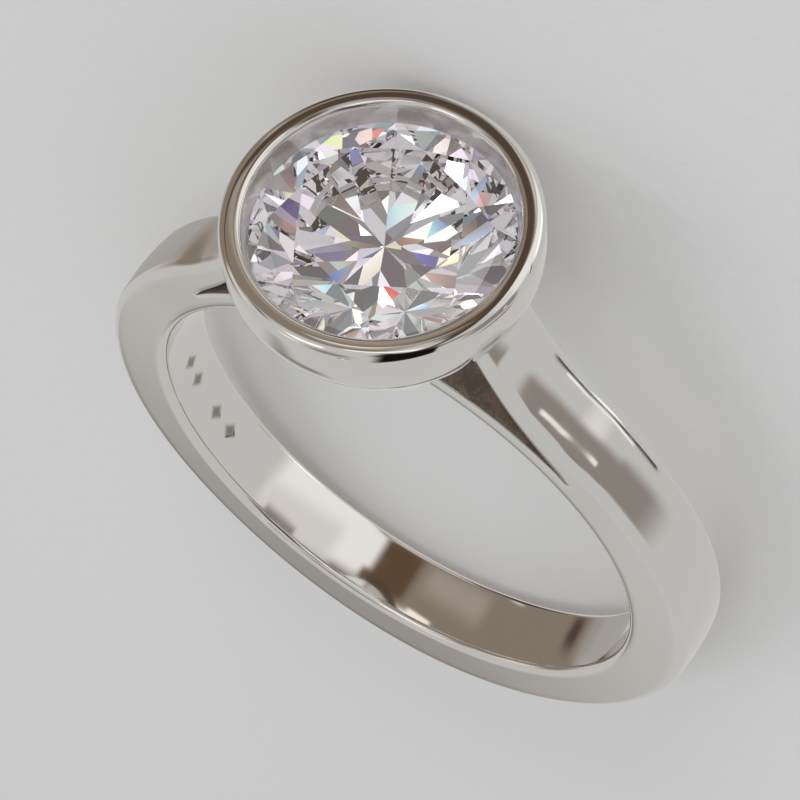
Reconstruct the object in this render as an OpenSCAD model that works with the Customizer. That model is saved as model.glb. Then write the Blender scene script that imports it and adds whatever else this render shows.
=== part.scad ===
// Solitaire ring: a round brilliant stone in a plain cup bezel, carried by two pierced shoulders.
// The ring is worked out standing up, with the finger along Y and the stone's axis along +Z from
// the centre of the finger hole, and is then laid on its side on the plane z = 0.

/* [Finger] */
// Diameter of the finger hole
finger_d = 17.3; // [15:0.1:20]
// Rounding of the two edges that the finger slides over
inner_round = 0.25; // [0.15:0.05:0.4]

/* [Band] */
// Thickness of the metal under the finger
bottom_t = 2.3; // [1.9:0.05:2.6]
// Thickness of the metal beside the finger
side_t = 2.15; // [1.8:0.05:2.4]
// Thickness at the waist, where the shoulders begin
waist_t = 2.05; // [1.9:0.05:2.2]
// Width of the band under the finger
band_w = 2.55; // [2.35:0.05:3]
// Width of the shoulders
shoulder_w = 2.35; // [2.2:0.05:2.8]
// Radius of the crown across the outer face
crown_r = 6.5; // [4:0.5:9]
// Rounding of the two outer edges
outer_round = 0.3; // [0.15:0.05:0.4]

/* [Shoulders] */
// Thickness of the rail that closes the finger circle under the cup
rail_t = 0.74; // [0.6:0.02:0.8]
// Thickness of the arm where it meets the cup
arm_t = 0.6; // [0.5:0.02:0.8]
// Thickness of the arm above the window's tip
arm_root_t = 1.28; // [1:0.02:1.36]
// Narrowest gap that the window is cut to, at its tip
window_tip = 0.06; // [0.04:0.01:0.12]

/* [Cup] */
// Outside diameter of the cup
cup_d = 9.25; // [9.1:0.05:9.6]
// Height of the cup's rim above the finger hole
head_h = 5.7; // [5.6:0.05:6]
// Rounding of the rim's outer edge
rim_round = 0.38; // [0.1:0.02:0.5]
// Height of the straight wall, from the rim down
wall_h = 1.1; // [0.8:0.05:1.2]
// Radius of the bend from the wall into the cone
bend_r = 2.1; // [1.9:0.05:3]
// Lean of the cone from the stone's axis, in degrees
cone_lean = 30; // [28:1:32]
// Radius of the open mouth above the stone
lip_r = 3.96; // [3.9:0.01:4]
// Radius where the seat ends and the open basket begins
seat_r = 3.55; // [3.3:0.05:3.7]
// Radius of the basket at its floor
basket_r = 2; // [1.6:0.1:2.1]
// Radius of the hole under the stone's point
culet_hole_r = 1.5; // [1:0.1:1.5]

/* [Stone] */
// Diameter of the stone
stone_d = 8.2; // [8.1:0.01:8.24]
// Diameter of the table from corner to corner, as a share of the stone's
table_share = 0.61; // [0.53:0.01:0.62]
// Angle of the crown's main facets, in degrees
crown_angle = 35; // [33:0.5:36]
// Angle of the pavilion's main facets, in degrees
pavilion_angle = 40.9; // [40:0.1:41.5]
// Length of the star facets, as a share of the way from the table to the girdle
star_share = 0.5; // [0.4:0.05:0.6]
// Length of the lower girdle facets, as a share of the way from the girdle to the point
lower_share = 0.77; // [0.7:0.01:0.85]
// Thickness of the girdle
girdle_t = 0.16; // [0.1:0.02:0.2]
// Depth of the table below the rim
table_drop = 0; // [0:0.05:0.2]
// Turn of the stone in its seat, in degrees
stone_turn = 4; // [0:1:45]
// Gap between the stone and the metal all round
stone_gap = 0.03; // [0.02:0.01:0.05]

/* [Fineness] */
// Degrees between two sections of the shank
shank_step = 5; // [3:1:6]
// Degrees between two sections of the shoulders
shoulder_step = 2.5; // [2:0.5:3]

/* [Hidden] */
$fn = 180;

bore_r = finger_d / 2;
cup_r = cup_d / 2;
stone_r = stone_d / 2;
rim_z = bore_r + head_h;

// The stone's levels, from its table down to its point
table_r = stone_r * table_share;
table_z = rim_z - table_drop;
girdle_top = table_z - (stone_r - table_r) * tan(crown_angle);
girdle_bottom = girdle_top - girdle_t;
culet_z = girdle_bottom - stone_r * tan(pavilion_angle);

// Columns of the band's table
ELEVATION = 0;
THICKNESS = 1;
WIDTH = 2;
// Each row is a section at an elevation seen from the finger's centre, in degrees: -90 is the
// bottom of the ring and 90 is under the stone. The last two rows lie inside the cup.
narrowing = band_w - shoulder_w;
band_table = [
    [-90, bottom_t, band_w],
    [-45, side_t - 0.1, band_w - 0.2 * narrowing],
    [0, side_t, band_w - 0.6 * narrowing],
    [20, side_t, band_w - 0.85 * narrowing],
    [34, waist_t, shoulder_w],
    [46, waist_t, shoulder_w],
    [55, waist_t + 0.1, shoulder_w],
    [62, waist_t + 0.5, shoulder_w],
    [69, waist_t + 1.4, shoulder_w],
    [75, waist_t + 2.65, shoulder_w],
    [90, waist_t + 2.4, shoulder_w]
];
waist = 34;

// Slope of a column at row i, level at both ends so that the two halves of the ring join smoothly
function slope(column, i) =
    i == 0 || i == len(band_table) - 1 ? 0 :
    let(
        below = band_table[i] - band_table[i - 1],
        above = band_table[i + 1] - band_table[i]
    )
    (above[ELEVATION] * below[column] / below[ELEVATION]
        + below[ELEVATION] * above[column] / above[ELEVATION])
        / (below[ELEVATION] + above[ELEVATION]);

// Value of a column at elevation e, on a cubic curve through the rows
function band_value(column, e, i = 0) =
    i < len(band_table) - 2 && e > band_table[i + 1][ELEVATION] ? band_value(column, e, i + 1) :
    let(
        a = band_table[i],
        b = band_table[i + 1],
        h = b[ELEVATION] - a[ELEVATION],
        t = (e - a[ELEVATION]) / h,
        u = 1 - t
    )
    (1 + 2 * t) * u * u * a[column] + t * u * u * h * slope(column, i)
        + (1 + 2 * u) * t * t * b[column] - u * t * t * h * slope(column, i + 1);

// Elevation of a section that stands at angle a around the whole ring
function elevation(a) = a <= 90 ? a : 180 - a;

function outer_r(a) = bore_r + band_value(THICKNESS, elevation(a));

// Points of an arc from angle a to angle b in n steps, the first of them left out on request
function arc(centre, r, a, b, n, first = 0) =
    [for (i = [first : n]) centre + r * [cos(a + (b - a) * i / n), sin(a + (b - a) * i / n)]];

// Centre of the outer edge's rounding on a section whose crown is centred at crown_c
function edge_centre(crown_c, half_w) =
    let(y = half_w - outer_round) [crown_c + sqrt(pow(crown_r - outer_round, 2) - y * y), y];

// Half of the band's section at angle a, as [radius, y] points: a crowned outer face that runs
// into a rounded edge, a flat side, and a rounded inner edge that ends inside the finger hole
crown_steps = 3;
outer_steps = 3;
inner_steps = 2;
overcut = 0.02;
bore_allowance = 0.2;
function half_section(a) =
    let(
        half_w = band_value(WIDTH, elevation(a)) / 2,
        crown_c = outer_r(a) - crown_r,
        edge = edge_centre(crown_c, half_w),
        meet = asin(edge[1] / (crown_r - outer_round)),
        inner_y = half_w - inner_round,
        inner_c = bore_r + inner_round - overcut
    )
    concat(
        arc([crown_c, 0], crown_r, 0, meet, crown_steps),
        arc(edge, outer_round, meet, 90, outer_steps, 1),
        arc([inner_c, inner_y], inner_round, 90, 180, inner_steps),
        [[bore_r - bore_allowance, inner_y]]
    );

// The whole section, from the inner corner on +Y over the crown to the inner corner on -Y
function section(a) =
    let(half = half_section(a), n = len(half))
    concat(
        [for (i = [n - 1 : -1 : 0]) half[i]],
        [for (i = [1 : n - 1]) [half[i][0], -half[i][1]]]
    );

// Angles of the sections once around the ring, closer together in the shoulders
right_angles = concat(
    [for (a = [-90 : shank_step : waist]) a],
    [for (a = [waist : shoulder_step : 90 - shoulder_step / 2]) a]
);
angles = concat(right_angles, [90], [for (i = [len(right_angles) - 1 : -1 : 1]) 180 - right_angles[i]]);

module band() {
    sections = [for (a = angles) section(a)];
    n = len(angles);
    m = len(sections[0]);
    polyhedron(
        points = [
            for (i = [0 : n - 1], p = sections[i]) [p[0] * cos(angles[i]), p[1], p[0] * sin(angles[i])]
        ],
        faces = [
            for (i = [0 : n - 1], j = [0 : m - 1])
                let(a = i * m + j, b = i * m + (j + 1) % m, c = (i + 1) % n * m + (j + 1) % m,
                    d = (i + 1) % n * m + j)
                each [[a, b, c], [a, c, d]]
        ],
        convexity = 8
    );
}

// Point of the band's outline in the XZ plane, and the arm's underside below it, which thins from
// the window's tip to where the arm meets the cup and runs on inside the cup
arm_root = 46;
arm_meet = 70;
arm_end = 76;
function outline(a) = outer_r(a) * [cos(a), sin(a)];
function underside(a) =
    let(
        step = 0.5,
        along = outline(a + step) - outline(a - step),
        depth = arm_root_t + (arm_t - arm_root_t) * (a - arm_root) / (arm_meet - arm_root)
    )
    outline(a) - depth * [along[1], -along[0]] / norm(along);

// Outline of the pierced window on the +X side: the arm's underside above, the rail below, and a
// third side that is hidden in the cup
rail_end = 82;
window_step = 2;
module window_outline() {
    rail_r = bore_r + rail_t;
    above = [
        for (a = [arm_root - 4 : window_step : arm_end])
            if (norm(underside(a)) >= rail_r + window_tip) underside(a)
    ];
    tip = atan2(above[0][1], above[0][0]);
    steps = ceil((rail_end - tip) / window_step);
    polygon(concat(above, arc([0, 0], rail_r, rail_end, tip, steps)));
}

module windows() {
    for (side = [0, 1]) {
        mirror([side, 0, 0])
            rotate([90, 0, 0])
                linear_extrude(2 * shoulder_w, center = true) window_outline();
    }
}

// The cup's outline from its rim down the wall, round the bend and along the cone to its foot,
// which the finger hole trims
rim_steps = 5;
bend_steps = 6;
cone_end_z = rim_z - wall_h - bend_r * sin(cone_lean);
cone_end_r = cup_r - bend_r * (1 - cos(cone_lean));
foot_z = bore_r - 0.5;
module cup() {
    rotate_extrude()
        polygon(concat(
            [[0, foot_z], [cone_end_r - (cone_end_z - foot_z) * tan(cone_lean), foot_z]],
            arc([cup_r - bend_r, rim_z - wall_h], bend_r, -cone_lean, 0, bend_steps),
            arc([cup_r - rim_round, rim_z - rim_round], rim_round, 0, 90, rim_steps),
            [[0, rim_z]]
        ));
}

// What the cup is hollowed by: the mouth, the groove that holds the girdle, the seat under the
// pavilion, the open basket and the hole below the stone's point
floor_z = bore_r + rail_t;
module cup_hollow() {
    groove_r = stone_r + stone_gap;
    lip_z = girdle_top + (stone_r - lip_r) * tan(crown_angle) + 2 * stone_gap;
    seat_z = girdle_bottom - (stone_r - seat_r) * tan(pavilion_angle) - 2 * stone_gap;
    rotate_extrude()
        polygon([
            [0, rim_z + 1],
            [lip_r, rim_z + 1],
            [lip_r, lip_z],
            [groove_r, lip_z],
            [groove_r, girdle_bottom - stone_gap],
            [seat_r, seat_z],
            [basket_r, floor_z],
            [culet_hole_r, floor_z],
            [culet_hole_r, foot_z - 1],
            [0, foot_z - 1]
        ]);
}

module finger_hole() {
    rotate([90, 0, 0]) cylinder(r = bore_r, h = 2 * cup_d, center = true);
}

// Lays the standing ring on its side: it leans until the band's outer edge under the finger and
// the cup's bend touch one plane, which is the common tangent of two circles in the YZ plane
crown_z = -(bore_r + bottom_t - crown_r);
edge_z = -edge_centre(-crown_z, band_w / 2)[0];
edge_y = band_w / 2 - outer_round;
bend_y = cup_r - bend_r;
bend_z = rim_z - wall_h;
lean = acos((outer_round - bend_r) / norm([bend_y - edge_y, bend_z - edge_z]))
    - atan2(bend_z - edge_z, bend_y - edge_y);
drop = edge_y * cos(lean) - edge_z * sin(lean) + outer_round;
// Ends of the laid ring along Y, at the rim's rounding and at the crown under the finger
far_end = (cup_r - rim_round) * sin(lean) + (rim_z - rim_round) * cos(lean) + rim_round;
near_end = crown_z * cos(lean) - crown_r;
module laid() {
    translate([0, -(far_end + near_end) / 2, drop]) rotate([lean - 90, 0, 0]) children();
}

module shank_with_bezel() {
    color("gainsboro")
        laid()
            difference() {
                union() {
                    difference() {
                        band();
                        windows();
                    }
                    cup();
                }
                finger_hole();
                cup_hollow();
            }
}

// The stone's points, ring by ring from the table to the culet. Main facets lie at multiples of 45
// degrees, and their planes give the heights of the points between them.
star_r = table_r * cos(22.5) + star_share * (stone_r - table_r * cos(22.5));
star_z = table_z - (star_r * cos(22.5) - table_r) * tan(crown_angle);
lower_r = stone_r * (1 - lower_share);
lower_z = culet_z + lower_r * cos(22.5) * tan(pavilion_angle);
function ring(n, first, r, z) =
    [for (i = [0 : n - 1]) let(a = first + i * 360 / n) [r * cos(a), r * sin(a), z]];

module stone() {
    // First point of each ring
    table = 0;
    star = 8;
    upper = 16;
    lower = 32;
    pavilion = 48;
    culet = 56;
    color("white", 0.6)
        laid()
            rotate([0, 0, stone_turn])
                polyhedron(
                    points = concat(
                        ring(8, 0, table_r, table_z),
                        ring(8, 22.5, star_r, star_z),
                        ring(16, 0, stone_r, girdle_top),
                        ring(16, 0, stone_r, girdle_bottom),
                        ring(8, 22.5, lower_r, lower_z),
                        [[0, 0, culet_z]]
                    ),
                    faces = concat(
                        [[for (i = [7 : -1 : 0]) table + i]],
                        [
                            for (i = [0 : 7])
                                let(
                                    next = (i + 1) % 8,
                                    last = (i + 7) % 8,
                                    main = 2 * i,
                                    half = 2 * i + 1,
                                    after = (2 * i + 2) % 16
                                )
                                each [
                                    [table + i, table + next, star + i],
                                    [table + i, star + i, upper + main, star + last],
                                    [star + i, upper + half, upper + main],
                                    [star + i, upper + after, upper + half],
                                    [upper + main, upper + half, lower + half, lower + main],
                                    [upper + half, upper + after, lower + after, lower + half],
                                    [pavilion + i, lower + main, lower + half],
                                    [pavilion + i, lower + half, lower + after],
                                    [culet, pavilion + last, lower + main, pavilion + i]
                                ]
                        ]
                    )
                );
}

shank_with_bezel();
stone();
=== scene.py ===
import bmesh
import bpy
import numpy as np
from bpy.props import FloatProperty, FloatVectorProperty, PointerProperty
from bpy.types import Operator, Panel, PropertyGroup
from mathutils import Matrix, Vector


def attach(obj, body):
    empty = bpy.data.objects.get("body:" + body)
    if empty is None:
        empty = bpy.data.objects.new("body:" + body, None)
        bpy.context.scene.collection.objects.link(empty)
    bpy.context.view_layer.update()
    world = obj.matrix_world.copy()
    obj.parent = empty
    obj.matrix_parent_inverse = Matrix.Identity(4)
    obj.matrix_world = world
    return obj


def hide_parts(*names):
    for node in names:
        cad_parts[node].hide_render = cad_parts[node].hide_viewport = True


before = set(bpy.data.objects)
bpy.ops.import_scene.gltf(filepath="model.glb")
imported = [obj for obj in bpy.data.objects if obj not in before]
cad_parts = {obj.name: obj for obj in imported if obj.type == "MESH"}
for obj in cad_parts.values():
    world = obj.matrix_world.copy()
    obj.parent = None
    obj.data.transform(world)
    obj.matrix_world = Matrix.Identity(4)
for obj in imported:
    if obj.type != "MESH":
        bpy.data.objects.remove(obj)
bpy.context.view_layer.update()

bl_info = {
    "name": "Bezel-set solitaire ring",
    "version": (1, 0, 0),
    "blender": (4, 5, 0),
    "location": "3D View > Sidebar > Ring",
    "description": "Polished band, bezel cup and brilliant-cut stone of a solitaire ring",
    "category": "Object",
}

MM = 0.001
WHITE = (1, 1, 1, 1)


def linear(code):
    """An sRGB hex colour as linear red, green and blue."""
    c = np.array([int(code[i:i + 2], 16) for i in (1, 3, 5)]) / 255
    return tuple(float(v) for v in np.where(c <= 0.04045, c / 12.92, ((c + 0.055) / 1.055) ** 2.4))


def length(name, text, mm):
    """A length property that is stated in millimetres and kept in metres."""
    return FloatProperty(name=name, description=text, default=mm * MM, min=0, precision=6,
                         unit="LENGTH", subtype="DISTANCE")


def colour(name, text, code):
    """A colour property from an sRGB hex value."""
    return FloatVectorProperty(name=name, description=text, default=linear(code), size=3,
                               min=0, max=1, subtype="COLOR")


class RingBandSizes(PropertyGroup):
    finger_d: length("Finger hole", "Diameter of the finger hole", 17.3)
    comfort: length("Comfort fit", "How far the finger hole's wall bulges towards the finger", 0.04)
    inner_round: length("Inner edges", "Rounding of the two edges of the finger hole", 0.25)
    bottom_t: length("Bottom", "Thickness of the metal under the finger", 2.3)
    side_t: length("Sides", "Thickness of the metal beside the finger", 2.15)
    waist_t: length("Waist", "Thickness where the shoulders begin", 2.05)
    band_w: length("Band width", "Width of the band under the finger", 2.55)
    shoulder_w: length("Shoulder width", "Width of the shoulders", 2.35)
    crown_r: length("Crown", "Radius of the crown across the outer face", 6.5)
    outer_round: length("Outer edges", "Rounding of the two outer edges", 0.3)
    rail_t: length("Rail", "Thickness of the rail under the window", 0.74)
    arm_t: length("Arm", "Thickness of the arm where it meets the cup", 0.6)
    arm_root_t: length("Arm's root", "Thickness of the arm above the window's tip", 1.28)
    window_round: length("Window edges", "Rounding of the window's edges", 0.05)


class RingCupSizes(PropertyGroup):
    cup_d: length("Cup", "Outside diameter of the cup", 9.25)
    head_h: length("Head", "Height of the rim above the finger hole", 5.7)
    rim_round: length("Rim", "Rounding of the rim's outer edge", 0.38)
    rim_fall: length("Rim's fall", "How far the rim's outer edge lies below its inner one", 0.04)
    wall_h: length("Wall", "Height of the straight wall below the rim", 1.1)
    bend_r: length("Bend", "Radius of the bend from the wall into the cone", 2.1)
    cone_lean: FloatProperty(name="Cone", description="Lean of the cone from the stone's axis",
                             default=np.radians(30), subtype="ANGLE")
    lip_r: length("Lip", "Radius of the open mouth above the stone", 3.96)
    lip_lean: length("Lip lean", "How far the lip's lower edge leans in over the stone", 0.16)
    lip_round: length("Lip edge", "Rounding of the lip's upper edge", 0.26)
    seat_r: length("Seat", "Radius where the seat ends and the basket begins", 3.55)
    basket_r: length("Basket", "Radius of the basket at its floor", 2)
    culet_hole_r: length("Culet hole", "Radius of the hole under the stone's point", 1.5)
    stone_d: length("Stone", "Diameter of the stone that the groove holds", 8.2)


class RingFinishes(PropertyGroup):
    plate: colour("Rhodium plate", "Colour of the polished white metal", "#e6e5e4")
    cast: colour("Cast metal", "Colour of the unpolished metal in the windows", "#ab998b")
    pickled: colour("Pickled metal", "Colour of the white pickled metal under the stone", "#fbf9fd")
    marks: colour("Punch marks", "Colour of the punch marks' unpolished floors", "#95918b")
    paper: colour("Paper", "Colour of the surface that the ring lies on", "#e9e9e9")


class RingStudio(PropertyGroup):
    floor_size: length("Floor", "Side of the square floor", 1600)
    focal: length("Focal length", "Focal length of the lens", 137.35)


# Laid on its side, the standing ring leans by this angle, is raised by DROP and moved by SHIFT_Y in
# mm: the solid's own values. The rows of LAY turn a standing point by the lean.
LEAN = np.radians(8.046726778509154)
DROP = 2.7453957875933077
SHIFT_Y = -1.9502431145159154
LAY = np.array([[1, 0, 0], [0, np.sin(LEAN), np.cos(LEAN)], [0, -np.cos(LEAN), np.sin(LEAN)]])

# Elevations in degrees on the standing ring, where 90 is the stone: the arm's root, and the place
# where the arm has its thickness at the cup. The finger hole's bulge fades out below COMFORT_END.
ARM_ROOT = 46
ARM_MEET = 70
COMFORT_END = 40
COMFORT_FADE = 20
WINDOW_FADE = 3    # over which the rounding of a window's edges grows

# First and last elevation and number of stations of the search for the window's tip and of the
# arm's underside, and the same without the first for the search for a strip's end
TIP_SEARCH = (ARM_ROOT - 4, 60, 600)
UNDERSIDE_REACH = (ARM_ROOT - 6, 80, 500)
END_SEARCH = (88, 900)

# Steps along the runs of the band's section, and stations round the band and along a strip
WALL_STEPS = 8
INNER_STEPS = 8
SIDE_STEPS = 5
RAIL_SIDE_STEPS = 3
EDGE_STEPS = 10
CROWN_STEPS = 14
DULL_STEPS = 6     # across a surface inside the window
WINDOW_STEPS = 4
BAND_STATIONS = 361
STRIP_STATIONS = 61

# Steps along the cup's bend, cone and foot, and stations round the cup
BEND_STEPS = 20
CONE_STEPS = 12
FOOT_STEPS = 5
CUP_STATIONS = 256

# Points closer than this in metres become one, and edges sharper than this angle stay crisp.
MERGE = 2e-7
CRISP = np.radians(32)

# How deep in mm the arms and the rails run into the cup
ARM_SINK = 0.06
RAIL_SINK = 0.1

# Stone's levels that the cup's groove follows
TABLE_SHARE = 0.61
CROWN_ANGLE = np.radians(35)
PAVILION_ANGLE = np.radians(40.9)
GIRDLE_T = 0.16
STONE_GAP = 0.03


def laid(points):
    """Standing-ring points in mm, leaned onto the floor plane and turned into metres."""
    return (points @ LAY.T + [0, SHIFT_Y, DROP]) * MM


def band_table(s):
    """Rows of elevation, thickness and width: -90 degrees is the bottom of the ring."""
    thick, w = s.waist_t / MM, s.band_w / MM
    narrow = w - s.shoulder_w / MM
    side, end = s.side_t / MM, s.shoulder_w / MM
    return np.array([
        [-90, s.bottom_t / MM, w], [-45, side - 0.1, w - 0.2 * narrow], [0, side, w - 0.6 * narrow],
        [20, side, w - 0.85 * narrow], [34, thick, end], [46, thick, end], [55, thick + 0.1, end],
        [62, thick + 0.5, end], [69, thick + 1.4, end], [75, thick + 2.65, end],
        [90, thick + 2.4, end],
    ])


def along_table(table, column, e):
    """Cubic Hermite curve through a column's rows at elevations e, level at both ends. An inner
    slope is the two neighbouring slopes, each weighted by the other side's span."""
    x, y = table[:, 0], table[:, column]
    h, d = np.diff(x), np.diff(y) / np.diff(x)
    slope = np.r_[0, (h[1:] * d[:-1] + h[:-1] * d[1:]) / (h[1:] + h[:-1]), 0]
    i = np.clip(np.searchsorted(x, e) - 1, 0, len(h) - 1)
    t = (e - x[i]) / h[i]
    u = 1 - t
    return ((1 + 2 * t) * u * u * y[i] + t * u * u * h[i] * slope[i]
            + (1 + 2 * u) * t * t * y[i + 1] - u * t * t * h[i] * slope[i + 1])


def arc(centre_r, centre_y, radius, start, end, steps):
    """Points of an arc in a section, from angle start to end in degrees: radius times the cosine
    along r and the sine along y, for every station at once."""
    a = np.radians(np.linspace(0, 1, steps + 1) * (end - start)[..., None] + start[..., None])
    return np.stack([centre_r[..., None] + radius[..., None] * np.cos(a),
                     centre_y[..., None] + radius[..., None] * np.sin(a)], -1)


def line(r0, y0, r1, y1, steps):
    """Points of a straight run in a section, from (r0, y0) to (r1, y1)."""
    t = np.linspace(0, 1, steps + 1)
    return np.stack([r0[..., None] + (r1 - r0)[..., None] * t,
                     y0[..., None] + (y1 - y0)[..., None] * t], -1)


def closed_loop(*runs):
    """Runs of the half section with y >= 0, from the mid plane to the mid plane, joined and
    mirrored into one closed loop; the point that two runs share is kept once."""
    half = np.concatenate([runs[0]] + [run[..., 1:, :] for run in runs[1:]], -2)
    return np.concatenate([half, half[..., -2:0:-1, :] * [1, -1]], -2)


class Section:
    """The runs of the band's section at polar angles e: bore, inner rounding, side, outer rounding
    and crown, as [r, y] points. The bore bulges by a parabola towards the finger, and the crown is
    an arc that runs into the rounded outer edge."""

    def __init__(self, s, e):
        table = band_table(s)
        self.bore = np.full_like(e, s.finger_d / MM / 2)
        self.rail = self.bore + s.rail_t / MM
        self.half = along_table(table, 2, e) / 2
        self.outer = self.bore + along_table(table, 1, e)
        crown, edge, inner = s.crown_r / MM, s.outer_round / MM, s.inner_round / MM
        self.zero = np.zeros_like(e)
        self.edge_y = self.half - edge
        self.edge_r = self.outer - crown + np.sqrt((crown - edge) ** 2 - self.edge_y ** 2)
        meet = np.degrees(np.arcsin(self.edge_y / (crown - edge)))
        right = self.zero + 90
        bulge = s.comfort / MM * np.clip((COMFORT_END - e) / COMFORT_FADE, 0, 1)
        wall = line(self.bore, self.zero, self.bore, self.half - inner, WALL_STEPS)
        wall[..., 0] += bulge[..., None] * np.linspace(0, 1, WALL_STEPS + 1) ** 2
        self.foot_r = self.bore + bulge + inner
        self.foot = [wall, arc(self.foot_r, self.half - inner, self.zero + inner, right * 2, right,
                               INNER_STEPS)]
        self.top = [
            arc(self.edge_r, self.edge_y, self.zero + edge, right, meet, EDGE_STEPS),
            arc(self.outer - crown, self.zero, self.zero + crown, meet, self.zero, CROWN_STEPS),
        ]


def arm_underside(s, e):
    """Radius of the arm's underside at polar angles e. The underside lies below the outline along
    its normal, by a depth that thins from the arm's root to where the arm meets the cup."""
    table, bore = band_table(s), s.finger_d / MM / 2

    def outline(a):
        r = bore + along_table(table, 1, a)
        return np.stack([r * np.cos(np.radians(a)), r * np.sin(np.radians(a))], -1)

    a = np.linspace(*UNDERSIDE_REACH)
    along = outline(a + 0.5) - outline(a - 0.5)
    along /= np.linalg.norm(along, axis=-1)[:, None]
    root, meet = s.arm_root_t / MM, s.arm_t / MM
    depth = root + (meet - root) * (a - ARM_ROOT) / (ARM_MEET - ARM_ROOT)
    p = outline(a) - depth[:, None] * np.stack([along[:, 1], -along[:, 0]], -1)
    return np.interp(e, np.degrees(np.arctan2(p[:, 1], p[:, 0])), np.hypot(p[:, 0], p[:, 1]))


def swept(rows, e, side=1):
    """Section rows [r, y] at polar angles e, as points of the standing ring; side -1 is the ring's
    -X half."""
    a = np.radians(e)
    return np.stack([side * rows[..., 0] * np.cos(a), rows[..., 1], rows[..., 0] * np.sin(a)], -1)


def grid_faces(n, m, first=0):
    """Quads of an n by m grid of points whose m rows close into a loop."""
    i, j = np.meshgrid(np.arange(n - 1), np.arange(m), indexing="ij")
    k = (j + 1) % m
    return (first + np.stack([i * m + j, i * m + k, (i + 1) * m + k, (i + 1) * m + j], -1)
            ).reshape(-1, 4)


def cup_radius(c, z):
    """Radius of the cup's outer surface at height z of the standing ring: wall, bend and cone."""
    rim = c.rim_z - c.wall_h
    bend = c.cup_r - c.bend_r + np.sqrt(np.clip(c.bend_r ** 2 - (rim - z) ** 2, 0, None))
    cone = c.cone_end_r - (c.cone_end_z - z) * np.tan(c.lean)
    return np.where(z > rim, c.cup_r, np.where(z > c.cone_end_z, bend, cone))


class CupShape:
    """The cup's sizes in mm, and the levels that follow from them."""

    def __init__(self, sizes, bore):
        for name in ("rim_round", "rim_fall", "wall_h", "bend_r", "lip_r", "lip_lean", "lip_round",
                     "seat_r", "basket_r", "culet_hole_r"):
            setattr(self, name, getattr(sizes, name) / MM)
        self.lean = sizes.cone_lean
        self.bore = bore
        self.cup_r = sizes.cup_d / MM / 2
        self.rim_z = bore + sizes.head_h / MM
        self.cone_end_z = self.rim_z - self.wall_h - self.bend_r * np.sin(self.lean)
        self.cone_end_r = self.cup_r - self.bend_r * (1 - np.cos(self.lean))
        stone_r = sizes.stone_d / MM / 2
        girdle_top = self.rim_z - stone_r * (1 - TABLE_SHARE) * np.tan(CROWN_ANGLE)
        girdle_bottom = girdle_top - GIRDLE_T
        self.groove_r = stone_r + STONE_GAP
        self.lip_z = girdle_top + (stone_r - self.lip_r) * np.tan(CROWN_ANGLE) + 2 * STONE_GAP
        self.groove_z = girdle_bottom - STONE_GAP
        self.seat_z = (girdle_bottom - (stone_r - self.seat_r) * np.tan(PAVILION_ANGLE)
                       - 2 * STONE_GAP)


def strip_ends(cup, rows, start, sink):
    """Polar angle at which each lengthwise row of a strip has gone a depth sink into the cup. The
    rows are followed on fine stations, and the first station that lies inside ends the row."""
    e = np.linspace(start, *END_SEARCH)
    p = swept(rows(e), e[:, None])
    inside = np.hypot(p[..., 0], p[..., 1]) < cup_radius(cup, p[..., 2]) - sink
    return e[np.argmax(inside, 0)]


def window_strips(s, start):
    """The arm's loop and the rail's loop beyond the window's tip, as functions of the stations e.
    The edges' rounding grows from nothing at the tip."""
    def rounding(e):
        t = np.clip((e - start) / WINDOW_FADE, 0, 1)
        return s.window_round / MM * t * t * (3 - 2 * t)

    def arm(e):
        q, c = Section(s, e), rounding(e)
        low = np.maximum(arm_underside(s, e), q.rail)
        return closed_loop(
            line(low, q.zero, low, q.half - c, DULL_STEPS),
            arc(low + c, q.half - c, c, q.zero + 180, q.zero + 90, WINDOW_STEPS),
            line(low + c, q.half, q.edge_r, q.half, SIDE_STEPS), *q.top)

    def rail(e):
        q, c = Section(s, e), rounding(e)
        return closed_loop(
            *q.foot, line(q.foot_r, q.half, q.rail - c, q.half, RAIL_SIDE_STEPS),
            arc(q.rail - c, q.half - c, c, q.zero + 90, q.zero, WINDOW_STEPS),
            line(q.rail, q.half - c, q.rail, q.zero, DULL_STEPS))

    return arm, rail


def window_tip(s):
    """Polar angle at which the arm's underside leaves the rail."""
    e = np.linspace(*TIP_SEARCH)
    rail = (s.finger_d / 2 + s.rail_t) / MM
    return float(e[np.argmax(arm_underside(s, e) > rail)])


def put_mesh(name, points, faces, slots):
    """A piece from points in metres and lists of face corners. Doubles are merged, and the normals
    are turned outwards."""
    mesh = bpy.data.meshes.new(name)
    mesh.from_pydata(points, [], [list(f) for f in faces])
    kept = mesh.attributes.new("slot", "INT", "FACE")
    kept.data.foreach_set("value", np.asarray(slots, np.int32))
    b = bmesh.new()
    b.from_mesh(mesh)
    bmesh.ops.remove_doubles(b, verts=b.verts, dist=MERGE)
    bmesh.ops.recalc_face_normals(b, faces=b.faces)
    b.to_mesh(mesh)
    b.free()
    index = np.zeros(len(mesh.polygons), np.int32)
    mesh.attributes["slot"].data.foreach_get("value", index)
    mesh.polygons.foreach_set("material_index", index)
    mesh.attributes.remove(mesh.attributes["slot"])
    mesh.shade_smooth()
    mesh.set_sharp_from_angle(angle=CRISP)
    piece = bpy.data.objects.new(name, mesh)
    bpy.context.collection.objects.link(piece)
    return piece


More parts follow.
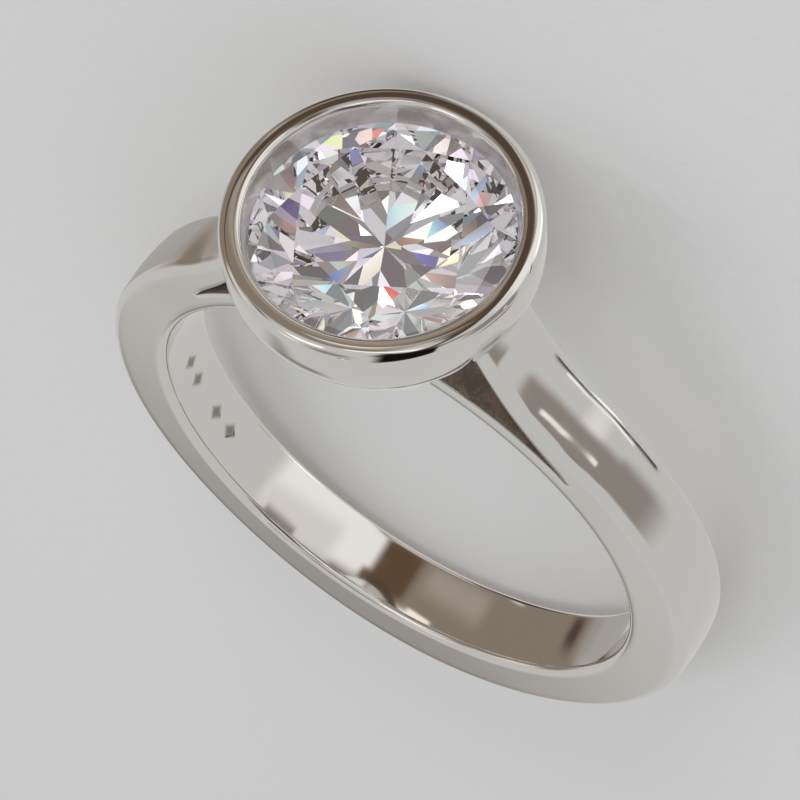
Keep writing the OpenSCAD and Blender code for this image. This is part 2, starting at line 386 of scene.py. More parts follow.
def mark_places(piece):
    """Stores each point's place on the band in mm as the attribute place: the way round the finger
    hole from the bottom of the ring, the way across along the finger, and the distance from the
    finger's axis."""
    co = np.empty(len(piece.data.vertices) * 3)
    piece.data.vertices.foreach_get("co", co)
    p = (co.reshape(-1, 3) / MM - [0, SHIFT_Y, DROP]) @ LAY
    r = np.hypot(p[:, 0], p[:, 2])
    turn = np.arctan2(p[:, 0], -p[:, 2])
    place = np.stack([turn * r.min(), p[:, 1], r], -1)
    attribute = piece.data.attributes.new("place", "FLOAT_VECTOR", "POINT")
    attribute.data.foreach_set("vector", place.ravel())


def node(tree, kind, links=(), **settings):
    """Adds a node with its settings and inputs: each input is a value, a socket, or a node whose
    first output is meant."""
    n = tree.nodes.new(kind)
    for key, value in settings.items():
        setattr(n, key, value)
    for key, value in dict(links).items():
        if isinstance(value, bpy.types.Node):
            value = value.outputs[0]
        if isinstance(value, bpy.types.NodeSocket):
            tree.links.new(value, n.inputs[key])
        else:
            n.inputs[key].default_value = value
    return n


def new_material(name):
    """An empty material and its node tree."""
    m = bpy.data.materials.new(name)
    m.use_nodes = True
    m.node_tree.nodes.clear()
    return m, m.node_tree


# The row of punch marks, in mm: their places along the bore from the bottom of the ring, the reach
# of a mark and of its flat floor from its middle, and the radii between which the bore ends.
MARKS_AT = (-9.2, -10.2, -12, -13)
MARK_HALF = 0.42
MARK_FLOOR = 0.12
MARK_DEPTH = 0.04
BORE_REACH = (8.66, 8.7)


def punch_marks(t):
    """Plain sunken punch marks on the bore, as a depth from 0 to 1: a row of small lozenges. A
    point u along and v across from a lozenge's middle lies at the distance |u| + |v| from it."""
    place = node(t, "ShaderNodeAttribute", attribute_name="place").outputs["Vector"]
    along, across, radius = node(t, "ShaderNodeSeparateXYZ", {0: place}).outputs
    marks = None
    for at in MARKS_AT:
        u = node(t, "ShaderNodeMath", {0: along, 1: at}, operation="SUBTRACT")
        u, v = (node(t, "ShaderNodeMath", {0: w}, operation="ABSOLUTE") for w in (u, across))
        d = node(t, "ShaderNodeMath", {0: u, 1: v}, operation="ADD")
        mark = node(t, "ShaderNodeMapRange", {
            "Value": d, "From Min": MARK_HALF, "From Max": MARK_FLOOR},
            interpolation_type="SMOOTHSTEP")
        marks = mark if marks is None else node(
            t, "ShaderNodeMath", {0: marks, 1: mark}, operation="MAXIMUM")
    on_bore = node(t, "ShaderNodeMapRange", {
        "Value": radius, "From Min": BORE_REACH[1], "From Max": BORE_REACH[0]})
    return node(t, "ShaderNodeMath", {0: marks, 1: on_bore}, operation="MULTIPLY")


def rhodium_plate(colours, band=False):
    """Rhodium-plated sterling silver, buffed on a felt wheel: a mirror with a cloudy trace of haze,
    and with the slight waves that hand polishing leaves, about 3 mm long and under a micron high.
    The punch marks' floors, which no wheel reaches, stay darker."""
    m, t = new_material("rhodium_plated_silver_" + ("band" if band else "cup"))
    where = node(t, "ShaderNodeTexCoord").outputs["Object"]
    waves = node(t, "ShaderNodeTexNoise", {"Vector": where, "Scale": 1 / (3 * MM), "Detail": 1})
    bump = node(t, "ShaderNodeBump", {"Height": waves, "Distance": 0.0015 * MM})
    tone = (*colours.plate, 1)
    if band:
        marks = punch_marks(t)
        bump = node(t, "ShaderNodeBump", {"Height": marks, "Distance": MARK_DEPTH * MM,
                                          "Normal": bump}, invert=True)
        tone = node(t, "ShaderNodeMix", {"Factor": marks, 6: tone, 7: (*colours.marks, 1)},
                    data_type="RGBA").outputs[2]
    haze = node(t, "ShaderNodeTexNoise", {"Vector": where, "Scale": 1 / (0.7 * MM), "Detail": 4})
    rough = node(t, "ShaderNodeMapRange", {"Value": haze, "From Min": 0.3, "From Max": 0.7,
                                           "To Min": 0.045, "To Max": 0.085})
    shader = node(t, "ShaderNodeBsdfPrincipled", {
        "Base Color": tone, "Metallic": 1, "Roughness": rough, "Normal": bump})
    node(t, "ShaderNodeOutputMaterial", {"Surface": shader})
    return m


def burnished_wall(colours):
    """The bezel's inner wall, rubbed over the stone with a steel burnisher: softly satin, with
    dents of the tool about 0.5 mm long."""
    m, t = new_material("rhodium_plated_silver_burnished")
    where = node(t, "ShaderNodeTexCoord").outputs["Object"]
    dents = node(t, "ShaderNodeTexNoise", {"Vector": where, "Scale": 1 / (0.5 * MM), "Detail": 2})
    bump = node(t, "ShaderNodeBump", {"Height": dents, "Distance": 0.0008 * MM})
    haze = node(t, "ShaderNodeTexNoise", {"Vector": where, "Scale": 1 / (0.3 * MM), "Detail": 4})
    rough = node(t, "ShaderNodeMapRange", {"Value": haze, "From Min": 0.3, "From Max": 0.7,
                                           "To Min": 0.18, "To Max": 0.26})
    shader = node(t, "ShaderNodeBsdfPrincipled", {
        "Base Color": (*colours.plate, 1), "Metallic": 1, "Roughness": rough, "Normal": bump})
    node(t, "ShaderNodeOutputMaterial", {"Surface": shader})
    return m


def cast_silver(name, colour, stained, metallic):
    """Silver as it comes out of the mould, pickled and not polished, where no wheel reaches: dull
    and frosted, with grains of about 0.1 mm; brown with tarnish in the windows."""
    m, t = new_material(name)
    where = node(t, "ShaderNodeTexCoord").outputs["Object"]
    grain = node(t, "ShaderNodeTexNoise", {"Vector": where, "Scale": 1 / (0.1 * MM), "Detail": 3,
                                           "Roughness": 0.7})
    cloud = node(t, "ShaderNodeTexNoise", {"Vector": where, "Scale": 1 / (0.6 * MM)})
    mix = node(t, "ShaderNodeMath", {0: grain, 1: cloud}, operation="ADD")
    stain = node(t, "ShaderNodeMapRange", {"Value": mix, "From Min": 0.8, "From Max": 1.2},
                 interpolation_type="SMOOTHSTEP")
    tone = node(t, "ShaderNodeMix", {
        "Factor": stain, 6: (*(stained * v for v in colour), 1), 7: (*colour, 1)},
        data_type="RGBA")
    bump = node(t, "ShaderNodeBump", {"Height": grain, "Strength": 0.7, "Distance": 0.02 * MM})
    shader = node(t, "ShaderNodeBsdfPrincipled", {
        "Base Color": tone.outputs[2], "Metallic": metallic, "Roughness": 0.55, "Normal": bump})
    node(t, "ShaderNodeOutputMaterial", {"Surface": shader})
    return m


MOISSANITE_IOR = 2.66


def moissanite():
    """Moissanite, sawn, ground and polished on a diamond lap: colourless, with plane, sharp facets.
    From outside a facet mirrors by Fresnel's law. From inside, a facet that would mirror more than
    half mirrors all and the others let all out, so that each facet shows one clear tone."""
    m, t = new_material("moissanite_facet_polished")
    share = node(t, "ShaderNodeFresnel", {"IOR": MOISSANITE_IOR})
    whole = node(t, "ShaderNodeMapRange", {"Value": share, "From Min": 0.4, "From Max": 0.6})
    inside = node(t, "ShaderNodeNewGeometry").outputs["Backfacing"]
    share = node(t, "ShaderNodeMix", {"Factor": inside, 2: share, 3: whole})
    bent = node(t, "ShaderNodeBsdfRefraction", {
        "Color": WHITE, "Roughness": 0, "IOR": MOISSANITE_IOR})
    mirrored = node(t, "ShaderNodeBsdfAnisotropic", {"Color": WHITE, "Roughness": 0})
    shader = node(t, "ShaderNodeMixShader", {0: share, 1: bent, 2: mirrored})
    node(t, "ShaderNodeOutputMaterial", {"Surface": shader})
    return m


# How brightly a card glows, the walls that the metal mirrors between the cards, and the even light
# that falls on the paper
CARD_GLOW = 1.28
WALL_TONE = "#b9b8b5"
EVEN_TONE = "#c8c8c8"

# What the polished metal mirrors: cards and soft boxes round the ring, each a soft-edged patch of
# the studio's walls. Columns: azimuth from +Y towards +X and elevation of its middle, half its
# width and height, softness of its edge, all in degrees, colour and strength.
CARDS = (
    (38, -40, 26, 32, 5, "#e4e1dc", 1.25),  # white card on the right
    (36, -12, 28, 6, 4, "#cbc8c4", CARD_GLOW),
    (62, -54, 12, 12, 5, "#fbfaf7", 1.4),
    (-126, -28, 18, 8, 4, "#9b9894", CARD_GLOW),
    (-50, -15, 59, 44, 8, "#7f7367", CARD_GLOW),  # brown card on the left
    (-30, -18, 15, 5, 4, "#988d83", CARD_GLOW),
    (-58, -28, 3, 2.5, 1.5, "#dcd4ca", CARD_GLOW),
    (-50, -53, 28, 6, 4, "#5f5042", CARD_GLOW),
    (-80, -50, 18, 12, 4, "#40342b", CARD_GLOW),
    (-16, -42, 22, 10, 4, "#bdb4aa", CARD_GLOW),
    (16, -15, 10, 9, 4, "#e1ded9", CARD_GLOW),
    (-1, -15, 9, 9, 2.5, "#584533", CARD_GLOW),
    (8.5, -7.5, 3, 2.5, 1.5, "#584533", CARD_GLOW),
    (-4, 4, 12, 8, 3, "#a39b93", CARD_GLOW),
    (-14, -1, 5, 3, 2, "#e6dccd", CARD_GLOW),
    (-96, -25, 4, 4, 3, "#4b3e38", CARD_GLOW),
    (-82, 28, 12, 10, 5, "#d0c5b8", CARD_GLOW),  # cream reflector
    (-28, 57, 17, 6, 3, "#fbf4ea", 1.5),  # long soft box overhead
    (-84, 67, 10, 5, 4, "#f0e8de", 1.3),
    (18, 31, 22, 3, 2, "#f8f2ec", 1.4),
    (16, 1, 9, 6, 3, "#6d6056", CARD_GLOW),
    (30, 8, 10, 6, 4, "#554639", CARD_GLOW),
    (45, 52, 14, 6, 4, "#706860", CARD_GLOW),
    (60, 38, 14, 12, 4, "#4a433c", CARD_GLOW),
    (-52, 36, 6, 6, 3, "#73675f", CARD_GLOW),
    (66, 22, 7, 10, 4, "#827c75", CARD_GLOW),
    (76, -36.8, 13, 1, 0.7, "#2e2620", CARD_GLOW),
    (70, -34.9, 8, 0.5, 0.4, "#ffffff", 1.3),
    (-160, 8, 8, 6, 4, "#7f7b75", CARD_GLOW),
    (0, 90, 180, 12, 6, "#857e78", CARD_GLOW),
    (158, 67, 9, 2.5, 1.5, "#1a1517", CARD_GLOW),
    (162, 64, 1, 1, 0.5, "#ffffff", 6),
)

# Lights that show through the stone alone: azimuth, elevation, half width, half height, softness
# in degrees, colour and strength.
GLINTS = (
    (2, 64, 3, 2.5, 0.3, "#ffffff", 6),
    (8, 19, 3, 2, 0.3, "#ffd9a0", 3),
    (27, 6, 5, 4, 0.3, "#ffffff", 2.5),
)

# Soft boxes that light the paper, and that show neither in the polished metal nor in the stone.
# Columns: azimuth and elevation of the middle, distance and size in mm, colour and radiance.
SOFT_BOXES = (
    (-95, 55, 500, 260, "#ffffff", 1),
    (20, 60, 500, 300, "#ffffff", 0.6),
    (0, 9, 400, 160, "#ffffff", 6),
)

# Cards close to the ring, where only some of its parts mirror them: each stands square to one axis
# (0 is X) at a place in mm. Along the other two axes it fades in from the first value to the second
# and out from the third to the fourth. A bowed card's second axis counts from a parabola, of
# height bow times the square of the distance from the first axis' middle.
FLAGS = (
    ("flag_low", 0, 16, (1.5, 4.5, 7, 7.8), (-1.4, 0.6, 3, 8), 0, "#857e77"),
    ("flag_right", 0, 24, (8.4, 9.2, 20, 22), (-5, -2.2, 8, 14), 0, "#857e77"),
    ("flag_right_streak", 0, 23.9, (11.5, 12.4, 13.3, 15.5), (-0.1, 0.5, 0.9, 1.5), 0, "#e9e3dc"),
    ("flag_behind", 1, 14.5, (-9.5, -8.5, 6.5, 7.5), (-2.2, -1.2, 0.5, 1.5), 0.165, "#4c3f35"),
    ("flag_spark", 1, 4, (-6.6, -6, -4.2, -3.6), (0.5, 0.9, 1.9, 2.4), 0, "#efe6d8"),
    ("flag_above", 2, 11, (3, 4, 9, 10), (9, 10, 14, 15), 0, "#15110f"),
)

# The camera in the standing ring's frame: its place in mm, and as rows its axes to the right, down
# and forward
CAMERA_PLACE = np.array([29.79144709, -37.89471147, 84.84900627])
CAMERA_AXES = np.array([[0.84284202, 0.53467629, -0.06114409],
                        [0.43413341, -0.74265958, -0.50988718],
                        [-0.31803383, 0.40320965, -0.85806553]])


def card_group():
    """One soft-edged patch: the mask is the product of two smooth steps, of the wrapped difference
    in azimuth and of the difference in elevation, and mixes the card over what is behind it."""
    g = bpy.data.node_groups.new("studio_card", "ShaderNodeTree")
    for name in ("Azimuth", "Elevation", "At azimuth", "At elevation", "Half width", "Half height",
                 "Softness", "Behind", "Card"):
        kind = "NodeSocketColor" if name in ("Behind", "Card") else "NodeSocketFloat"
        g.interface.new_socket(name, in_out="INPUT", socket_type=kind)
    g.interface.new_socket("Colour", in_out="OUTPUT", socket_type="NodeSocketColor")
    i = node(g, "NodeGroupInput").outputs
    masks = []
    for here, at, half in (("Azimuth", "At azimuth", "Half width"),
                           ("Elevation", "At elevation", "Half height")):
        apart = node(g, "ShaderNodeMath", {0: i[here], 1: i[at]}, operation="SUBTRACT")
        apart = node(g, "ShaderNodeMath", {0: apart, 1: 180, 2: -180}, operation="WRAP")
        apart = node(g, "ShaderNodeMath", {0: apart}, operation="ABSOLUTE")
        inner = node(g, "ShaderNodeMath", {0: i[half], 1: i["Softness"]}, operation="SUBTRACT")
        outer = node(g, "ShaderNodeMath", {0: i[half], 1: i["Softness"]}, operation="ADD")
        masks.append(node(g, "ShaderNodeMapRange", {
            "Value": apart, "From Min": inner, "From Max": outer, "To Min": 1, "To Max": 0},
            interpolation_type="SMOOTHSTEP"))
    mask = node(g, "ShaderNodeMath", {0: masks[0], 1: masks[1]}, operation="MULTIPLY")
    mix = node(g, "ShaderNodeMix", {"Factor": mask, 6: i["Behind"], 7: i["Card"]}, data_type="RGBA")
    node(g, "NodeGroupOutput", {"Colour": mix.outputs[2]})
    return g


# The sky that shows through the stone: its lowest tone, the span of its tones, and how far red and
# blue are turned apart from green, as a share of a radian.
SKY_LOW = 0.15
SKY_SPAN = 1.08
FIRE = 0.008


def facet_sky(t, way):
    """What shows through the stone: a sky of soft-edged cells about 7 degrees wide, each of one
    tone, SKY_LOW + SKY_SPAN r squared of an even random r. Red and blue read it half a degree to
    either side, as the stone's dispersion turns them, and are drawn a third of the way back to
    green's tone. Slow clouds of colour, about 15 degrees wide, tint it by a tenth."""
    tones = []
    for shift in (-FIRE, 0, FIRE):
        turned = node(t, "ShaderNodeVectorMath", {0: way, 1: (shift, 0, shift)}, operation="ADD")
        cells = node(t, "ShaderNodeTexVoronoi", {"Vector": turned, "Scale": 8, "Smoothness": 0.15},
                     feature="SMOOTH_F1")
        even = node(t, "ShaderNodeSeparateColor", {0: cells.outputs["Color"]})
        square = node(t, "ShaderNodeMath", {0: even, 1: 2}, operation="POWER")
        tones.append(node(t, "ShaderNodeMath", {0: square, 1: SKY_SPAN, 2: SKY_LOW},
                          operation="MULTIPLY_ADD"))
    full = node(t, "ShaderNodeCombineColor", {0: tones[0], 1: tones[1], 2: tones[2]})
    soft = node(t, "ShaderNodeMix", {"Factor": 0.35, 6: full, 7: tones[1]}, data_type="RGBA")
    clouds = node(t, "ShaderNodeTexNoise", {"Vector": way, "Scale": 4, "Detail": 2})
    tint = node(t, "ShaderNodeVectorMath", {0: clouds.outputs["Color"], 1: (0.6, 0.6, 0.6),
                                            2: (0.71, 0.67, 0.72)}, operation="MULTIPLY_ADD")
    return node(t, "ShaderNodeMix", {"Factor": 1, 6: soft.outputs[2], 7: tint}, data_type="RGBA",
                blend_type="MULTIPLY").outputs[2]


def studio_world():
    """The studio's walls as a function of direction: azimuth is the arc tangent of x over y,
    elevation the arc sine of z, and the cards lie one over another on an even grey. Light that has
    passed the stone sees its own sky, and the paper an even white."""
    world = bpy.data.worlds.new("studio")
    world.use_nodes = True
    t = world.node_tree
    t.nodes.clear()
    way = node(t, "ShaderNodeTexCoord").outputs["Generated"]
    x, y, z = node(t, "ShaderNodeSeparateXYZ", {0: way}).outputs
    az = node(t, "ShaderNodeMath", {0: x, 1: y}, operation="ARCTAN2")
    el = node(t, "ShaderNodeMath", {0: z}, operation="ARCSINE")
    az, el = (node(t, "ShaderNodeMath", {0: v}, operation="DEGREES") for v in (az, el))
    group = card_group()

    def cards(table, seen):
        for at_az, at_el, width, height, soft, code, strength in table:
            seen = node(t, "ShaderNodeGroup", {
                "Azimuth": az, "Elevation": el, "At azimuth": at_az, "At elevation": at_el,
                "Half width": width, "Half height": height, "Softness": soft, "Behind": seen,
                "Card": (*(strength * v for v in linear(code)), 1)}, node_tree=group)
        return node(t, "ShaderNodeBackground", {"Color": seen})

    even = node(t, "ShaderNodeBackground", {"Color": (*linear(EVEN_TONE), 1)})
    room = cards(CARDS, (*(CARD_GLOW * v for v in linear(WALL_TONE)), 1))
    sky = cards(GLINTS, facet_sky(t, way))
    ray = node(t, "ShaderNodeLightPath").outputs
    seen = node(t, "ShaderNodeMixShader", {0: ray["Is Glossy Ray"], 1: even, 2: room})
    seen = node(t, "ShaderNodeMixShader", {0: ray["Is Transmission Ray"], 1: seen, 2: sky})
    node(t, "ShaderNodeOutputWorld", {"Surface": seen})
    world.cycles.sampling_method = "NONE"
    return world


class RING_OT_band(Operator):
    """Builds the band with its two pierced shoulders"""
    bl_idname = "ring.band"
    bl_label = "Band and shoulders"

    def execute(self, context):
        s = context.scene.ring_band
        cup = CupShape(context.scene.ring_cup, s.finger_d / MM / 2)
        tip = window_tip(s)
        arm, rail = window_strips(s, tip)
        points, faces, slots = [], [], []

        def add(p, closed_end, dull):
            n, m = p.shape[:2]
            first = sum(len(q) for q in points)
            quads = grid_faces(n, m, first)
            points.append(p.reshape(-1, 3))
            faces.extend(quads.tolist())
            mask = np.tile(np.isin(np.arange(m), dull), n - 1)
            slots.extend(mask.astype(int).tolist())
            if closed_end:
                faces.append(list(range(first + (n - 1) * m, first + n * m)))
                slots.append(0)

        a = np.linspace(-180 - tip, tip, BAND_STATIONS)
        e = np.where(a < -90, -180 - a, a)
        q = Section(s, e)
        whole = closed_loop(*q.foot, line(q.foot_r, q.half, q.rail, q.half, RAIL_SIDE_STEPS),
                            line(q.rail, q.half, q.edge_r, q.half, SIDE_STEPS), *q.top)
        add(swept(whole, a[:, None]), False, [])
        u = np.linspace(0, 1, STRIP_STATIONS)[:, None]
        # An arm's loop starts in the middle of its underside, and a rail's has its top halfway.
        for rows, sink, middle in ((arm, ARM_SINK, 0), (rail, RAIL_SINK, 0.5)):
            ends = strip_ends(cup, rows, tip, sink)
            stations = tip + (ends - tip) * u
            m = len(ends)
            strip = np.stack([rows(stations[:, j])[:, j] for j in range(m)], 1)
            dull = (int(m * middle) + np.arange(-DULL_STEPS, DULL_STEPS)) % m
            for side in (1, -1):
                add(swept(strip, stations, side), True, dull)
        piece = put_mesh("band", laid(np.concatenate(points)), faces, slots)
        mark_places(piece)
        finish = context.scene.ring_finish
        for material in (rhodium_plate(finish, band=True),
                         cast_silver("silver_as_cast_tarnished", finish.cast, 0.6, 0.4)):
            piece.data.materials.append(material)
        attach(piece, "root")
        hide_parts("shank_with_bezel")
        return {"FINISHED"}


def fillet(corner, before, after, radius, steps):
    """Arc of the given radius that is tangent to both legs of a corner: its centre lies on the
    bisector at radius / sin(half the corner's angle)."""
    u, v = before - corner, after - corner
    u, v = u / np.linalg.norm(u), v / np.linalg.norm(v)
    half = np.arccos(np.clip(u @ v, -1, 1)) / 2
    bisector = (u + v) / np.linalg.norm(u + v)
    centre = corner + bisector * radius / np.sin(half)
    start = corner + u * radius / np.tan(half) - centre
    end = corner + v * radius / np.tan(half) - centre
    a0, a1 = np.arctan2(start[1], start[0]), np.arctan2(end[1], end[0])
    turn = (a1 - a0 + np.pi) % (2 * np.pi) - np.pi
    a = a0 + turn * np.linspace(0, 1, steps + 1)
    return centre + radius * np.stack([np.cos(a), np.sin(a)], -1)


def cup_profile(c, floor_z):
    """The cup's section from the culet hole over basket, seat, groove, lip, rim and wall to the end
    of the bend, as [r, z] points: every corner of the table gets an arc, and the bend is an arc
    that leans by the angle of the cone. Also the rows of faces where the basket begins and ends and
    where the lip's wall ends, two or three faces up its rounded edge."""
    low_z = c.lip_z + c.lip_lean * np.tan(CROWN_ANGLE)
    # Columns: r and z of the corner, radius of its rounding, steps of the arc
    corners = np.array([
        [c.culet_hole_r, floor_z, 0.05, 4],
        [c.basket_r, floor_z, 0.1, 4],
        [c.seat_r, c.seat_z, 0.1, 4],
        [c.groove_r, c.groove_z, 0.03, 4],
        [c.groove_r, c.lip_z, 0.03, 4],
        [c.lip_r - c.lip_lean, low_z, 0.05, 4],
        [c.lip_r, c.rim_z, c.lip_round, 10],
        [c.cup_r, c.rim_z - c.rim_fall, c.rim_round, 14],
    ])
    chain = np.concatenate([[[c.culet_hole_r, floor_z - 0.5]], corners[:, :2],
                            [[c.cup_r, c.rim_z - c.wall_h]]])
    steps = corners[:, 3].astype(int)
    arcs = [fillet(chain[i + 1], chain[i], chain[i + 2], corners[i, 2], steps[i])
            for i in range(len(corners))]
    a = np.linspace(0, -c.lean, BEND_STEPS + 1)
    bend = np.stack([c.cup_r - c.bend_r + c.bend_r * np.cos(a),
                     c.rim_z - c.wall_h + c.bend_r * np.sin(a)], -1)
    first = np.cumsum(steps + 1)
    return np.concatenate([*arcs, bend]), (first[0] - 1, first[4] - 1, first[5] + 3)


class RING_OT_cup(Operator):
    """Builds the bezel cup with its rim, lip, groove, seat and open basket"""
    bl_idname = "ring.cup"
    bl_label = "Bezel cup"

    def execute(self, context):
        finish = context.scene.ring_finish
        c = CupShape(context.scene.ring_cup, context.scene.ring_band.finger_d / MM / 2)
        turn = np.linspace(0, 2 * np.pi, CUP_STATIONS + 1)[:-1]
        # The cone ends on the finger hole's cylinder: its height there, found by repetition
        z = np.full_like(turn, c.bore)
        for _ in range(30):
            r = cup_radius(c, z)
            z = np.sqrt(c.bore ** 2 - (r * np.cos(turn)) ** 2)
        profile, (basket, wall, wall_end) = cup_profile(
            c, c.bore + context.scene.ring_band.rail_t / MM)
        n, k = len(profile), len(turn)
        t = np.linspace(0, 1, CONE_STEPS + 1)[1:, None]
        cone_r = c.cone_end_r + (r - c.cone_end_r) * t
        cone_z = c.cone_end_z + (z - c.cone_end_z) * t
        t = np.linspace(0, 1, FOOT_STEPS + 1)[1:, None]
        foot_r = r + (c.culet_hole_r - r) * t
        foot_z = np.sqrt(c.bore ** 2 - (foot_r * np.cos(turn)) ** 2)
        rr = np.concatenate([np.broadcast_to(profile[:, :1], (n, k)), cone_r, foot_r])
        zz = np.concatenate([np.broadcast_to(profile[:, 1:], (n, k)), cone_z, foot_z])
        p = np.stack([rr * np.cos(turn), rr * np.sin(turn), zz], -1)
        m = len(p)
        i, j = np.meshgrid(np.arange(m), np.arange(k), indexing="ij")
        i2, j2 = (i + 1) % m, (j + 1) % k
        quads = np.stack([i * k + j, i * k + j2, i2 * k + j2, i2 * k + j], -1).reshape(-1, 4)
        slots = np.select([(i >= wall) & (i < wall_end), (i >= basket) & (i < wall)], [1, 2])
        piece = put_mesh("bezel_cup", laid(p.reshape(-1, 3)), quads.tolist(), slots.ravel())
        for material in (rhodium_plate(finish), burnished_wall(finish),
                         cast_silver("silver_as_cast_pickled", finish.pickled, 0.95, 0)):
            piece.data.materials.append(material)
        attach(piece, "root")
        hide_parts("shank_with_bezel")
        return {"FINISHED"}


class RING_OT_stone(Operator):
    """Gives the cut stone its finish; the solid's own plane facets stay"""
    bl_idname = "ring.stone"
    bl_label = "Stone"

    def execute(self, context):
        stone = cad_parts["stone"]
        finish = moissanite()
        if not stone.material_slots:
            stone.data.materials.append(finish)
        for s in stone.material_slots:
            s.material = finish
        # Real light gets through the stone to its seat, but Cycles lets none of the lamps' through.
        stone.visible_shadow = False
        stone.visible_diffuse = False
        return {"FINISHED"}


def put_flag(name, axis, at, first, second, bow, code):
    """A glowing card that only the metal mirrors. Its cover is the product of four smooth steps,
    one along each edge, in the card's own coordinates."""
    others = [k for k in range(3) if k != axis]
    middle, half = (first[0] + first[3]) / 2, (first[3] - first[0]) / 2
    corners = np.full((4, 3), float(at))
    corners[:, others[0]] = np.take(first, (0, 3, 3, 0))
    corners[:, others[1]] = np.take((second[0], second[3] + bow * half ** 2), (0, 0, 1, 1))
    mesh = bpy.data.meshes.new(name)
    mesh.from_pydata((corners * MM).tolist(), [], [(0, 1, 2, 3)])
    card = bpy.data.objects.new(name, mesh)
    bpy.context.collection.objects.link(card)
    m, t = new_material(name)
    place = node(t, "ShaderNodeSeparateXYZ", {0: node(t, "ShaderNodeTexCoord").outputs["Object"]})
    u, v = (place.outputs[k] for k in others)
    if bow:
        rise = node(t, "ShaderNodeMath", {0: u, 1: middle * MM}, operation="SUBTRACT")
        rise = node(t, "ShaderNodeMath", {0: rise, 1: rise}, operation="MULTIPLY")
        v = node(t, "ShaderNodeMath", {0: rise, 1: -bow / MM, 2: v}, operation="MULTIPLY_ADD")
    cover = 1
    for value, (low, full, still, high) in ((u, first), (v, second)):
        for start, end in ((low, full), (high, still)):
            step = node(t, "ShaderNodeMapRange", {
                "Value": value, "From Min": start * MM, "From Max": end * MM},
                interpolation_type="SMOOTHSTEP")
            cover = node(t, "ShaderNodeMath", {0: cover, 1: step}, operation="MULTIPLY")
    glow = node(t, "ShaderNodeEmission", {"Color": (*linear(code), 1), "Strength": CARD_GLOW})
    clear = node(t, "ShaderNodeBsdfTransparent")
    mixed = node(t, "ShaderNodeMixShader", {0: cover, 1: clear, 2: glow})
    node(t, "ShaderNodeOutputMaterial", {"Surface": mixed})
    mesh.materials.append(m)
    for kind in ("camera", "diffuse", "transmission", "shadow"):
        setattr(card, "visible_" + kind, False)


def put_floor(side, tone):
    """The square floor that the ring lies on: matt paper, felted and pressed, with a fine tooth
    that keeps its light even. The polished metal and the stone don't show it."""
    half = side / 2
    mesh = bpy.data.meshes.new("floor")
    mesh.from_pydata([(-half, -half, 0), (half, -half, 0), (half, half, 0), (-half, half, 0)],
                     [], [(0, 1, 2, 3)])
    floor = bpy.data.objects.new("floor", mesh)
    bpy.context.collection.objects.link(floor)
    m, t = new_material("matt_pressed_paper")
    where = node(t, "ShaderNodeTexCoord").outputs["Object"]
    tooth = node(t, "ShaderNodeTexNoise", {
        "Vector": where, "Scale": 1 / (0.5 * MM), "Detail": 3})
    bump = node(t, "ShaderNodeBump", {"Height": tooth, "Distance": 0.02 * MM})
    shader = node(t, "ShaderNodeBsdfPrincipled", {
        "Base Color": (*tone, 1), "Roughness": 0.9, "Specular IOR Level": 0.1, "Normal": bump})
    node(t, "ShaderNodeOutputMaterial", {"Surface": shader})
    mesh.materials.append(m)
    floor.visible_glossy = False
    floor.visible_transmission = False


def put_soft_box(name, az, el, distance, size, code, radiance):
    """A square area lamp that faces the ring; its power is pi times its area and its radiance."""
    lamp = bpy.data.lights.new(name, "AREA")
    lamp.size = size * MM
    lamp.color = linear(code)
    lamp.energy = radiance * np.pi * (size * MM) ** 2
    box = bpy.data.objects.new(name, lamp)
    bpy.context.collection.objects.link(box)
    az, el = np.radians([az, el])
    way = Vector((np.sin(az) * np.cos(el), np.cos(az) * np.cos(el), np.sin(el)))
    box.matrix_world = (Matrix.Translation(way * distance * MM)
                        @ way.to_track_quat("Z", "Y").to_matrix().to_4x4())
    for kind in ("camera", "glossy", "transmission"):
        setattr(box, "visible_" + kind, False)


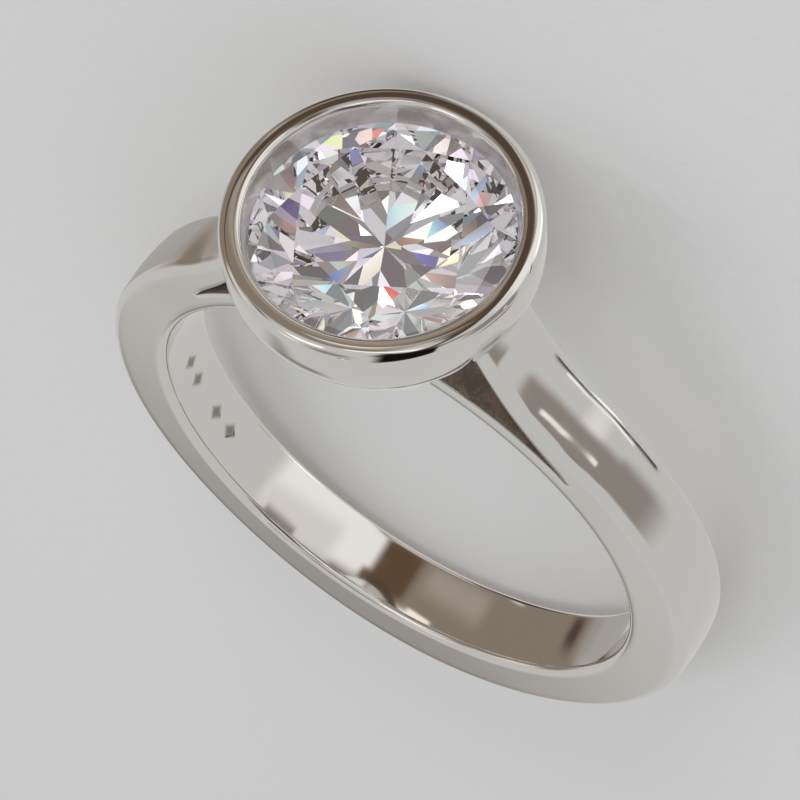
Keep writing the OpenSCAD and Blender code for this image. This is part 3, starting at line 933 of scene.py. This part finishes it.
def put_camera(focal):
    """The camera at the photo's angle to the ring, leaned with it onto the floor plane."""
    lens = bpy.data.cameras.new("camera")
    lens.lens = focal / MM
    lens.sensor_width = 36
    lens.clip_start, lens.clip_end = 0.001, 10
    camera = bpy.data.objects.new("camera", lens)
    bpy.context.collection.objects.link(camera)
    matrix = np.eye(4)
    matrix[:3, :3] = LAY @ (CAMERA_AXES * [[1], [-1], [-1]]).T
    matrix[:3, 3] = laid(CAMERA_PLACE)
    camera.matrix_world = Matrix(matrix.tolist())
    bpy.context.scene.camera = camera


class RING_OT_stage(Operator):
    """Lays out the floor, the light and the camera"""
    bl_idname = "ring.stage"
    bl_label = "Stage"

    def execute(self, context):
        scene = context.scene
        put_floor(scene.ring_studio.floor_size, scene.ring_finish.paper)
        for flag in FLAGS:
            put_flag(*flag)
        for number, box in enumerate(SOFT_BOXES):
            put_soft_box(f"soft_box_{number}", *box)
        scene.world = studio_world()
        # Enough bounces for a ray that turns often inside the stone
        scene.cycles.max_bounces = 24
        scene.cycles.glossy_bounces = scene.cycles.transmission_bounces = 16
        scene.view_settings.view_transform, scene.view_settings.look = "Standard", "None"
        put_camera(scene.ring_studio.focal)
        return {"FINISHED"}


class RING_PT_panel(Panel):
    """Lists the ring's pieces and sizes"""
    bl_idname = "RING_PT_panel"
    bl_label = "Solitaire ring"
    bl_space_type = "VIEW_3D"
    bl_region_type = "UI"
    bl_category = "Ring"

    def draw(self, context):
        for group in GROUPS:
            box = self.layout.box()
            box.label(text=group.removeprefix("ring_").capitalize())
            data = getattr(context.scene, group)
            for key in data.__annotations__:
                box.prop(data, key)
        for step in STEPS:
            self.layout.operator(step.bl_idname)


GROUPS = {"ring_band": RingBandSizes, "ring_cup": RingCupSizes, "ring_finish": RingFinishes,
          "ring_studio": RingStudio}
STEPS = (RING_OT_band, RING_OT_cup, RING_OT_stone, RING_OT_stage)
CLASSES = (*GROUPS.values(), *STEPS, RING_PT_panel)


def register():
    for c in CLASSES:
        bpy.utils.register_class(c)
    for name, group in GROUPS.items():
        setattr(bpy.types.Scene, name, PointerProperty(type=group))


def unregister():
    for name in GROUPS:
        delattr(bpy.types.Scene, name)
    for c in reversed(CLASSES):
        bpy.utils.unregister_class(c)


def main():
    """Registers the add-on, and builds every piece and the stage."""
    register()
    bpy.ops.ring.band()
    bpy.ops.ring.cup()
    bpy.ops.ring.stone()
    bpy.ops.ring.stage()


if __name__ == "__main__":
    main()
